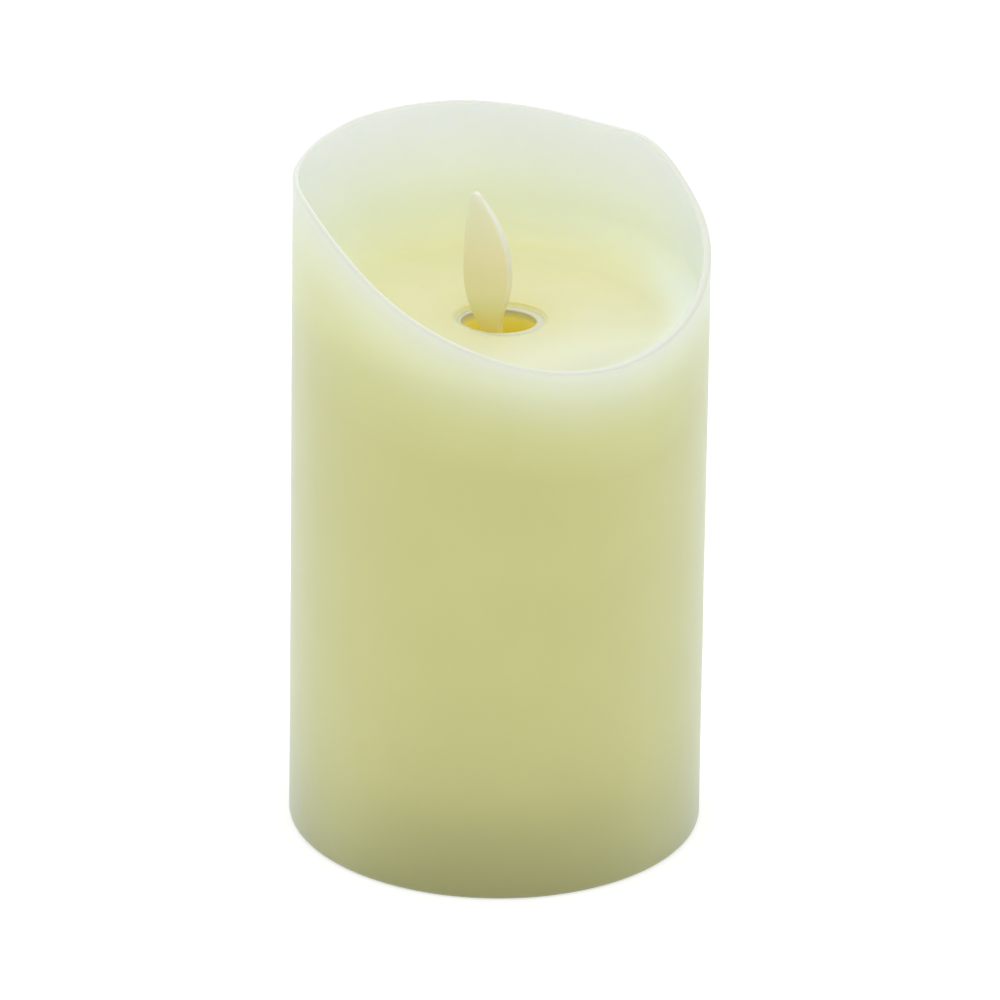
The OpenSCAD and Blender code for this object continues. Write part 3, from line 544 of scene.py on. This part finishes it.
def wax_material():
    """Ivory wax coloured by depth below its rim, with light and shade painted in, not cast by light:
    paler where light shines through the thin rim, a sheen at a glance, bounce light at the bowl's foot,
    lamp light round the ring, and shade on the rim's top and at its foot.
    """
    shader = Shader("ivory_wax")
    split = shader.add("SeparateXYZ", Vector=shader.place)
    rim = shader.add("Attribute", {"attribute_name": "rim"}).outputs["Fac"]
    bowl = shader.add("Attribute", {"attribute_name": "bowl"}).outputs["Fac"]
    radius = shader.add("Attribute", {"attribute_name": "radius"}).outputs["Fac"]
    depth = shader.sum("SUBTRACT", rim, split.outputs["Z"])
    # painted light: the outside is paler towards the rim, where light shines through the thin wax, and
    # the pale band reaches further down on the left
    left = shader.sum("MINIMUM", split.outputs["X"], 0.0)
    stretch = shader.sum("MULTIPLY_ADD", left, -0.6 / wax_r, 1.0)
    outside_share = shader.sum("DIVIDE", shader.sum("DIVIDE", depth, 60 * MM), stretch)
    outside = shader.ramp(outside_share, [
        (0.00, srgb(230, 235, 223)),
        (0.07, srgb(229, 234, 200)),
        (0.14, srgb(223, 226, 176)),
        (0.22, srgb(217, 219, 154)),
        (0.36, srgb(210, 210, 142)),
        (1.00, srgb(209, 209, 142)),
    ])
    # painted light: the bowl's wall is paler up by the thin rim, where light shines through, and yellower
    # at its foot, as light bouncing in the hollow would make it; slant makes it a little yellower on the
    # right
    slant = shader.sum("MULTIPLY_ADD", split.outputs["X"], 0.08 / wax_r, 1.0)
    deep = shader.sum("MULTIPLY", shader.sum("DIVIDE", depth, 30 * MM), slant)
    wall = shader.ramp(deep, [
        (0.00, srgb(236, 241, 245)),
        (0.15, srgb(235, 241, 241)),
        (0.40, srgb(235, 241, 233)),
        (0.65, srgb(233, 238, 217)),
        (0.78, srgb(230, 231, 190)),
        (0.88, srgb(227, 226, 165)),
        (1.00, srgb(222, 221, 150)),
    ])
    pool = shader.ramp(deep, [
        (0.15, srgb(198, 201, 174)),
        (0.40, srgb(220, 219, 182)),
        (0.55, srgb(218, 214, 167)),
        (0.75, srgb(222, 216, 158)),
        (1.00, srgb(220, 216, 154)),
    ])
    flat = shader.add("MapRange", {"interpolation_type": "SMOOTHSTEP"},
                      Value=radius, From_Min=wax_r - 2.5 * MM,
                      From_Max=BOWL_FLOOR_R - 2.5 * MM).outputs["Result"]
    near = shader.add("MapRange", {"interpolation_type": "SMOOTHSTEP"},
                      Value=radius, From_Min=17 * MM, From_Max=9 * MM).outputs["Result"]
    inside = shader.mix(flat, wall, pool)
    inside = shader.mix(near, inside, shader.mix(1.0, inside, srgb(253, 251, 238), "MULTIPLY"))
    # painted light: the wax slope round the ring is made brighter and yellower, as lamp light from below
    # would make it
    edge = shader.add("MapRange", Value=radius, From_Min=ring_r + 1.3 * EDGE_WIDTH, From_Max=ring_r)
    inside = shader.mix(edge.outputs["Result"], inside, srgb(231, 226, 160))
    colour = shader.mix(bowl, outside, inside)
    # painted shade: where the rim's top land faces up it takes a darker colour, against the stronger
    # light from above
    upright = shader.add("SeparateXYZ", Vector=shader.add("NewGeometry").outputs["Normal"]).outputs["Z"]
    top = shader.add("MapRange", Value=depth, From_Min=MM, From_Max=0.4 * MM).outputs["Result"]
    level = shader.add("MapRange", Value=upright, From_Max=0.6).outputs["Result"]
    outer = shader.add("MapRange", Value=radius, From_Min=wax_r - RIM_LAND, From_Max=wax_r)
    land = shader.ramp(outer.outputs["Result"], [
        (0.00, srgb(210, 213, 205)),
        (0.40, srgb(211, 213, 204)),
        (0.60, srgb(206, 209, 198)),
        (1.00, srgb(206, 209, 196)),
    ])
    colour = shader.mix(shader.sum("MULTIPLY", top, level), colour, land)
    low = shader.sum("DIVIDE", split.outputs["Z"], 45 * MM)
    foot = shader.ramp(low, [
        (0.00, (0.54, 0.54, 0.54, 1)),
        (0.27, (0.69, 0.69, 0.69, 1)),
        (0.50, (0.90, 0.90, 0.90, 1)),
        (0.80, (0.98, 0.98, 0.98, 1)),
        (1.00, (1, 1, 1, 1)),
    ])
    foot_side = shader.ramp(low, [
        (0.00, (0.66, 0.66, 0.65, 1)),
        (0.20, (0.80, 0.81, 0.79, 1)),
        (0.42, (0.92, 0.92, 0.90, 1)),
        (0.65, (0.99, 0.99, 0.99, 1)),
        (1.00, (1, 1, 1, 1)),
    ])
    facing = shader.add("LayerWeight", Blend=0.5).outputs["Facing"]
    glance = shader.add("MapRange", Value=facing, From_Min=0.02, From_Max=0.45).outputs["Result"]
    colour = shader.mix(1.0, colour, shader.mix(glance, foot, foot_side), "MULTIPLY")
    colour = shader.mix(1.0, colour, shader.cloud(16 * MM, 0.97, 1.03), "MULTIPLY")
    # painted sheen: paler and bluer towards a glance, standing in for the white room's reflection on the
    # wax
    glance_sheen = shader.sum("MULTIPLY", shader.sum("POWER", facing, 2.2), 0.5)
    colour = shader.mix(glance_sheen, colour, srgb(222, 237, 234))
    grain = bumps(shader, shader.speckle(0.9 * MM, 4), 0.03 * MM, 0.6)
    return shader.finish(
        Base_Color=colour,
        Roughness=shader.between(shader.speckle(5 * MM), 0.34, 0.50),
        IOR=1.45,
        Subsurface_Weight=0.5,
        Subsurface_Radius=(1.0, 0.9, 0.5),
        Subsurface_Scale=2.5 * MM,
        Normal=grain,
    )


def flame_material():
    """Ivory plastic with painted light: its narrow sides are painted paler, and the lamp's gold at its
    foot is painted colour and emission.
    """
    shader = Shader("ivory_plastic")
    height = shader.add("Attribute", {"attribute_name": "height"}).outputs["Fac"]
    edge = shader.add("Attribute", {"attribute_name": "edge"}).outputs["Fac"]
    share = shader.sum("DIVIDE", height, 41 * MM)
    # painted lamp light: the face turns gold towards its foot, where the lamp shines up the bore
    face = shader.ramp(share, [
        (0.28, srgb(200, 180, 66)),
        (0.33, srgb(204, 190, 110)),
        (0.43, srgb(213, 209, 148)),
        (0.50, srgb(223, 216, 164)),
        (0.65, srgb(235, 226, 182)),
        (0.88, srgb(231, 230, 196)),
        (1.00, srgb(228, 230, 213)),
    ])
    # painted light: the narrow sides are paler and less gold than the faces
    side = shader.ramp(share, [
        (0.36, srgb(206, 196, 140)),
        (0.50, srgb(224, 218, 180)),
        (0.80, srgb(222, 222, 206)),
    ])
    glow = shader.ramp(share, [
        (0.28, srgb(114, 107, 10)),
        (0.33, srgb(117, 112, 60)),
        (0.40, srgb(102, 99, 58)),
        (0.47, srgb(78, 80, 58)),
        (0.62, srgb(0, 0, 0)),
    ])
    return shader.finish(
        Base_Color=shader.mix(edge, face, side),
        Roughness=shader.between(shader.speckle(2 * MM), 0.30, 0.42),
        IOR=1.49,
        Subsurface_Weight=0.3,
        Subsurface_Radius=(1.0, 0.8, 0.5),
        Subsurface_Scale=1.0 * MM,
        Emission_Color=glow,
        Emission_Strength=1.0,
        Normal=bumps(shader, shader.speckle(0.6 * MM), 0.01 * MM, 0.5),
    )


def plastic(name, colour, roughness=0.42, edge=0.15 * MM):
    """Moulded plastic with a fine spark-eroded grain."""
    shader = Shader(name)
    return shader.finish(
        Base_Color=shader.mix(1.0, colour, shader.cloud(9 * MM, 0.94, 1.04), "MULTIPLY"),
        Roughness=shader.between(shader.speckle(1.5 * MM), roughness - 0.06, roughness + 0.06),
        Normal=bumps(shader, shader.speckle(0.25 * MM, 4), 0.02 * MM, 0.5, edge),
    )


def collar_material():
    """Warm white moulding; the lamp's gold in its bore is painted colour and emission."""
    shader = Shader("collar_plastic")
    depth = shader.add("Attribute", {"attribute_name": "depth"}).outputs["Fac"]
    share = shader.sum("DIVIDE", depth, 6 * MM)
    colour = shader.ramp(share, [
        (0.00, srgb(210, 209, 185)),
        (0.14, srgb(214, 206, 166)),
        (0.32, srgb(214, 194, 90)),
        (1.00, srgb(206, 178, 52)),
    ])
    glow = shader.ramp(share, [
        (0.08, srgb(0, 0, 0)),
        (0.30, srgb(132, 132, 56)),
        (0.70, srgb(136, 130, 34)),
    ])
    return shader.finish(
        Base_Color=colour,
        Roughness=shader.between(shader.speckle(1.5 * MM), 0.34, 0.46),
        Emission_Color=glow,
        Emission_Strength=1.0,
        Normal=bumps(shader, shader.speckle(0.25 * MM, 4), 0.02 * MM, 0.5),
    )


def metal(name, colour, roughness, scratch=0.5 * MM):
    """Drawn or plated metal with fine scratches and a little tarnish."""
    shader = Shader(name)
    along = shader.add("Mapping", Vector=shader.place, Scale=(1, 1, 12)).outputs[0]
    lines = shader.add("TexNoise", Vector=along, Scale=1 / scratch, Detail=2.0).outputs["Fac"]
    dull = shader.speckle(3 * MM)
    tarnish = tuple(0.55 * c for c in colour[:3]) + (1,)
    colour = shader.mix(shader.between(dull, -0.2, 0.5), colour, tarnish)
    return shader.finish(
        Base_Color=colour,
        Metallic=1.0,
        Roughness=shader.between(lines, roughness - 0.08, roughness + 0.12),
        Normal=bumps(shader, lines, 0.01 * MM, 0.4, 0.08 * MM),
    )


def winding_material():
    """Enamelled copper wire, turn beside turn."""
    shader = Shader("enamelled_copper")
    turns = shader.add("TexWave", {"wave_type": "BANDS", "bands_direction": "Z"},
                       Vector=shader.place, Scale=1 / (1.2 * MM), Distortion=0.6).outputs["Fac"]
    colour = shader.ramp(turns, [(0.0, srgb(120, 52, 22)), (1.0, srgb(214, 122, 66))])
    return shader.finish(
        Base_Color=colour,
        Metallic=0.85,
        Roughness=shader.between(turns, 0.42, 0.25),
        Normal=bumps(shader, turns, 0.12 * MM),
    )


def board_material():
    """Green solder mask over copper tracks."""
    shader = Shader("solder_mask")
    cells = shader.add("TexBrick", Vector=shader.place, Scale=1 / (7 * MM), Mortar_Size=0.03)
    colour = shader.mix(cells.outputs["Fac"], srgb(24, 92, 52), srgb(46, 128, 74))
    colour = shader.mix(1.0, colour, shader.cloud(6 * MM, 0.85, 1.1), "MULTIPLY")
    return shader.finish(
        Base_Color=colour,
        Roughness=shader.between(shader.speckle(2 * MM), 0.25, 0.4),
        Normal=bumps(shader, cells.outputs["Fac"], 0.03 * MM, 1.0, 0.1 * MM),
    )


def banded_material(name, node, bands, roughness, metallic_above=None):
    """A sleeve with bands of colour up its height, each from a share of that height."""
    shader = Shader(name)
    low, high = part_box(node)
    split = shader.add("SeparateXYZ", Vector=shader.place)
    share = shader.sum("DIVIDE", shader.sum("SUBTRACT", split.outputs["Z"], low.z), high.z - low.z)
    colour = shader.ramp(share, bands, "CONSTANT")
    shine = shader.sum("GREATER_THAN", share, metallic_above) if metallic_above else 0.0
    return shader.finish(
        Base_Color=shader.mix(1.0, colour, shader.cloud(5 * MM, 0.9, 1.06), "MULTIPLY"),
        Metallic=shine,
        Roughness=shader.between(shader.speckle(1.2 * MM), roughness - 0.05, roughness + 0.08),
        Normal=bumps(shader, shader.speckle(0.8 * MM), 0.02 * MM, 0.4, 0.1 * MM),
    )


def lens_material():
    """Milky warm lens of the lamp, faintly lit."""
    shader = Shader("lamp_lens")
    tint = shader.mix(shader.speckle(1.2 * MM), srgb(250, 236, 190), srgb(255, 246, 214))
    return shader.finish(
        Base_Color=tint,
        Roughness=shader.between(shader.speckle(2 * MM), 0.08, 0.16),
        Transmission_Weight=0.4,
        Emission_Color=srgb(255, 196, 96),
        Emission_Strength=1.5,
    )


def paint(nodes, material):
    """Gives CAD nodes a material in place of the plain one they came with."""
    for name in nodes:
        for slot in frame["nodes"][name].material_slots:
            slot.material = material


def dress_nodes():
    """Materials of every CAD node that stays in view or inside."""
    white = plastic("white_plastic", srgb(236, 234, 224))
    black = plastic("black_plastic", srgb(28, 28, 30), 0.38)
    steel = metal("plated_steel", srgb(190, 190, 192), 0.28)
    spring = metal("spring_steel", srgb(204, 204, 206), 0.22)
    paint(["case_left", "case_right", "coil_bobbin", "led_holder", "battery_housing",
           "base_plate", "battery_door"], white)
    paint(["lead_sockets", "switch_body", "switch_knob", "control_chip", "driver_transistor"], black)
    paint(["pivot_wire", "case_screws", "board_screws", "engine_screws", "base_screws",
           "switch_screws", "flame_magnet"], steel)
    paint(["positive_terminal", "negative_terminal", "negative_spring", "bridge_contact",
           "door_spring"], spring)
    paint(["coil_winding"], winding_material())
    paint(["control_board"], board_material())
    paint(["led"], lens_material())
    paint(["coil_leads"], plastic("yellow_insulation", srgb(222, 186, 60), 0.35, 0.05 * MM))
    paint(["led_leads", "positive_lead"], plastic("red_insulation", srgb(188, 40, 34), 0.35, 0.05 * MM))
    paint(["negative_lead", "switch_leads"],
          plastic("black_insulation", srgb(34, 34, 36), 0.35, 0.05 * MM))
    paint(["capacitor"], banded_material("capacitor_sleeve", "capacitor", [
        (0.0, srgb(30, 42, 92)), (0.93, srgb(196, 198, 200))], 0.3, 0.93))
    paint(["resistors"], banded_material("resistor_body", "resistors", [
        (0.0, srgb(206, 186, 146)), (0.8, srgb(186, 162, 120))], 0.45))
    for name in ("cell_1", "cell_2"):
        paint([name], banded_material(name + "_sleeve", name, [
            (0.0, srgb(190, 190, 192)), (0.03, srgb(38, 44, 48)), (0.78, srgb(176, 124, 62)),
            (0.955, srgb(200, 200, 202))], 0.3, 0.955))


# ---- Stage -------------------------------------------------------------------------------

FLOOR_HALF = 3.0
LAMP_WIDTH = 0.6
LAMP_POWER = 1.75
LAMP_HEIGHT = 1.0
LAMP_AIM = Vector((0, 0, 0.1))


def make_floor():
    """A white floor, partly emissive to the camera and dimmer to the rays that light the candle."""
    half = FLOOR_HALF
    corners = [(-half, -half, 0), (half, -half, 0), (half, half, 0), (-half, half, 0)]
    floor = mesh_piece("floor", corners, [(0, 1, 2, 3)])
    shader = Shader("pale_floor")
    seen = shader.sum("SUBTRACT", 1.0, shader.add("LightPath").outputs["Is Diffuse Ray"])
    pale = shader.cloud(0.2, 0.985, 1.0)
    bounce = shader.add("BsdfDiffuse", Color=(0.42, 0.42, 0.42, 1))
    bright = shader.add("BsdfDiffuse", Color=shader.mix(1.0, (0.5, 0.5, 0.5, 1), pale, "MULTIPLY"))
    lift = shader.add("Emission", Color=(1, 1, 1, 1), Strength=0.6)
    shown = shader.add("AddShader")
    shader.put(shown.inputs[0], bright.outputs[0])
    shader.put(shown.inputs[1], lift.outputs[0])
    both = shader.add("MixShader")
    shader.put(both.inputs[0], seen)
    shader.put(both.inputs[1], bounce.outputs[0])
    shader.put(both.inputs[2], shown.outputs[0])
    out = shader.add("OutputMaterial")
    shader.put(out.inputs["Surface"], both.outputs[0])
    floor.data.materials.append(shader.material)


def make_light():
    """An even white room with one wide soft lamp overhead."""
    world = bpy.data.worlds.new("studio")
    world.use_nodes = True
    world.node_tree.nodes["Background"].inputs["Color"].default_value = (1, 1, 1, 1)
    world.node_tree.nodes["Background"].inputs["Strength"].default_value = 1.0
    bpy.context.scene.world = world
    lamp = bpy.data.lights.new("overhead", "AREA")
    lamp.shape = "DISK"
    lamp.size = LAMP_WIDTH
    lamp.energy = LAMP_POWER
    place = bpy.data.objects.new("overhead", lamp)
    place.location = (0, 0, LAMP_HEIGHT)
    place.rotation_mode = "QUATERNION"
    place.rotation_quaternion = (LAMP_AIM - place.location).to_track_quat("-Z", "Y")
    bpy.context.scene.collection.objects.link(place)


def make_camera():
    """A long lens from a little above the rim."""
    data = bpy.data.cameras.new("camera")
    data.lens = CAMERA_LENS
    data.clip_end = 10
    camera = bpy.data.objects.new("camera", data)
    back = Vector((0, -math.cos(CAMERA_RISE), math.sin(CAMERA_RISE)))
    camera.location = CAMERA_AIM + CAMERA_AWAY * back
    camera.rotation_mode = "QUATERNION"
    camera.rotation_quaternion = (-back).to_track_quat("-Z", "Y") @ Quaternion((0, 0, 1), CAMERA_ROLL)
    bpy.context.scene.collection.objects.link(camera)
    bpy.context.scene.camera = camera
    bpy.context.scene.view_settings.view_transform = "Standard"
    bpy.context.scene.cycles.use_denoising = True


# ---- Building it -------------------------------------------------------------------------

dress_nodes()

wax_piece = make_wax()
wax_piece.data.materials.append(wax_material())
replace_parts(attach(wax_piece, "body"), "wax_shell")

collar_piece = make_collar()
collar_piece.data.materials.append(collar_material())
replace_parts(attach(collar_piece, "body"), "flame_collar")

flame_piece = make_flame()
flame_piece.data.materials.append(flame_material())
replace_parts(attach(flame_piece, "flame"), "flame")

make_floor()
make_light()
make_camera()
